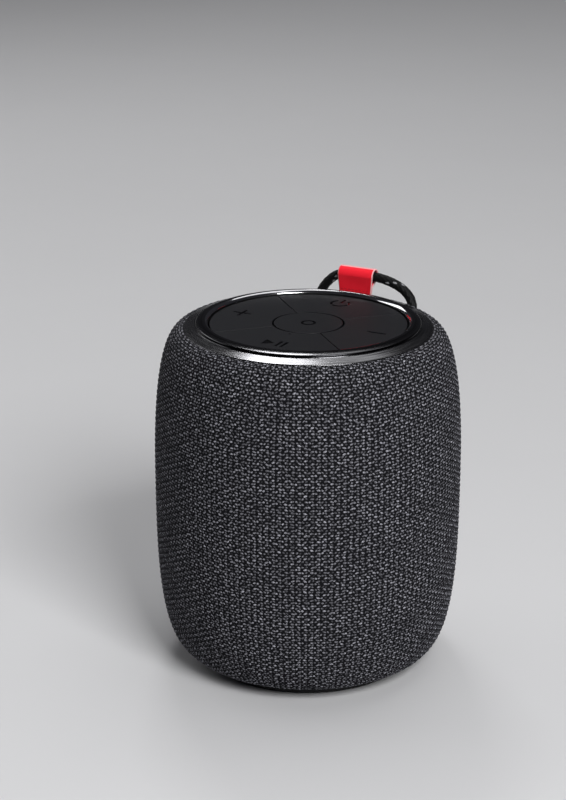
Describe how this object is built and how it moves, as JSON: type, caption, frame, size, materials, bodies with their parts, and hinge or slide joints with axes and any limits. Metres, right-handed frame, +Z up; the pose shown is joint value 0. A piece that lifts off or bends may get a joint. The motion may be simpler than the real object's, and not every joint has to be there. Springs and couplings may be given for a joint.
{
  "type": "portable loudspeaker",
  "caption": "Fabric-covered barrel loudspeaker with a ringed top key panel, a rear lanyard with a folded tag, a rear port flap and a rubber foot.",
  "frame": {"origin": "centre of the rubber foot's underside, on the floor", "axes": "+Z up along the barrel; -Y is the front, +Y the rear with the lanyard and the port; +X is the right-hand side seen from the front"},
  "size_m": [0.092, 0.092, 0.1122],
  "materials": {
    "sleeve_fabric": "woven, matt",
    "trim_ring": "dark chrome, polished lip and brushed bevel",
    "key_rubber": "satin",
    "black_plastic": "satin moulded",
    "chamber_plastic": "matt moulded",
    "foot_rubber": "matt",
    "surround_rubber": "satin",
    "cone_paper": "matt pulp",
    "spider_cloth": "impregnated cloth",
    "coil_wire": "enamelled winding",
    "magnet_ferrite": "sintered, matt",
    "plated_steel": "zinc plated",
    "frame_steel": "black powder coat",
    "radiator_aluminium": "brushed",
    "screw_steel": "blackened",
    "circuit_board": "solder mask",
    "battery_wrap": "shrink film",
    "wire_sleeving": "flexible",
    "light_pipe": "clear",
    "switch_body": "moulded",
    "stem_plastic": "moulded",
    "dome_silicone": "translucent silicone",
    "connector_steel": "nickel plated",
    "flap_rubber": "satin",
    "cord_braid": "braided",
    "tag_webbing": "woven ribbon"
  },
  "bodies": {
    "speaker": {"aux_jack": "switch_body", "base_plate": "black_plastic", "base_screws": "screw_steel", "battery_cell": "battery_wrap", "battery_holder": "chamber_plastic", "battery_leads": "wire_sleeving", "board_screws": "screw_steel", "chamber_lower": "chamber_plastic", "chamber_screws": "screw_steel", "chamber_seal": "foot_rubber", "chamber_upper": "chamber_plastic", "control_board": "circuit_board", "control_deck": "black_plastic", "deck_screws": "screw_steel", "diffuser_cone": "black_plastic", "dome_center": "dome_silicone", "dome_minus": "dome_silicone", "dome_play": "dome_silicone", "dome_plus": "dome_silicone", "dome_power": "dome_silicone", "driver_basket": "frame_steel", "driver_gasket": "foot_rubber", "driver_magnet": "magnet_ferrite", "driver_spider": "spider_cloth", "driver_surround": "surround_rubber", "driver_top_plate": "plated_steel", "driver_yoke": "plated_steel", "fabric_sleeve": "sleeve_fabric", "foot_ring": "foot_rubber", "grille_cage": "black_plastic", "lanyard_anchors": "black_plastic", "lanyard_cord": "cord_braid", "main_board": "circuit_board", "microphone": "connector_steel", "port_board": "circuit_board", "port_housing": "black_plastic", "radiator_frame": "black_plastic", "radiator_surround": "surround_rubber", "ring_screws": "screw_steel", "signal_harness": "wire_sleeving", "speaker_leads": "wire_sleeving", "status_light": "light_pipe", "tact_switches": "switch_body", "top_trim_ring": "trim_ring", "usb_c_receptacle": "connector_steel"},
    "key_minus_body": {"key_minus": "key_rubber", "stem_minus": "stem_plastic"},
    "key_power_body": {"key_power": "key_rubber", "stem_power": "stem_plastic"},
    "key_plus_body": {"key_plus": "key_rubber", "stem_plus": "stem_plastic"},
    "key_play_body": {"key_play": "key_rubber", "stem_play": "stem_plastic"},
    "key_center_body": {"key_center": "key_rubber", "stem_center": "stem_plastic"},
    "driver_moving": {"driver_cone": "cone_paper", "voice_coil": "coil_wire"},
    "radiator_moving": {"radiator_plate": "radiator_aluminium"},
    "flap": {"port_flap": "flap_rubber"},
    "tag": {"lanyard_tag": "tag_webbing"}
  },
  "joints": [
    {"name": "press_minus", "type": "slide", "parent": "speaker", "child": "key_minus_body", "axis": [0, 0, -1], "range_m": [0, 0.0005], "stiffness_N_per_m": 2000, "springref_m": -0.00005, "deforming": ["dome_minus"]},
    {"name": "press_power", "type": "slide", "parent": "speaker", "child": "key_power_body", "axis": [0, 0, -1], "range_m": [0, 0.0005], "stiffness_N_per_m": 2000, "springref_m": -0.00005, "deforming": ["dome_power"]},
    {"name": "press_plus", "type": "slide", "parent": "speaker", "child": "key_plus_body", "axis": [0, 0, -1], "range_m": [0, 0.0005], "stiffness_N_per_m": 2000, "springref_m": -0.00005, "deforming": ["dome_plus"]},
    {"name": "press_play", "type": "slide", "parent": "speaker", "child": "key_play_body", "axis": [0, 0, -1], "range_m": [0, 0.0005], "stiffness_N_per_m": 2000, "springref_m": -0.00005, "deforming": ["dome_play"]},
    {"name": "press_center", "type": "slide", "parent": "speaker", "child": "key_center_body", "axis": [0, 0, -1], "range_m": [0, 0.0005], "stiffness_N_per_m": 2000, "springref_m": -0.00005, "deforming": ["dome_center"]},
    {"name": "driver_excursion", "type": "slide", "parent": "speaker", "child": "driver_moving", "axis": [0, 0, -1], "range_m": [-0.0015, 0.0015], "stiffness_N_per_m": 1500, "deforming": ["driver_surround", "driver_spider"]},
    {"name": "radiator_excursion", "type": "slide", "parent": "speaker", "child": "radiator_moving", "axis": [0, 0, 1], "range_m": [-0.0025, 0.0025], "stiffness_N_per_m": 600, "deforming": ["radiator_surround"]},
    {"name": "flap_hinge", "type": "hinge", "parent": "speaker", "child": "flap", "pos_m": [-0.01195, 0.0431, 0.019], "axis": [0, 0, 1], "range_deg": [0, 110]},
    {"name": "tag_swing", "type": "hinge", "parent": "speaker", "child": "tag", "pos_m": [-0.0023, 0.03985, 0.1097], "axis": [1, 0, 0], "range_deg": [0, 20]}
  ]
}
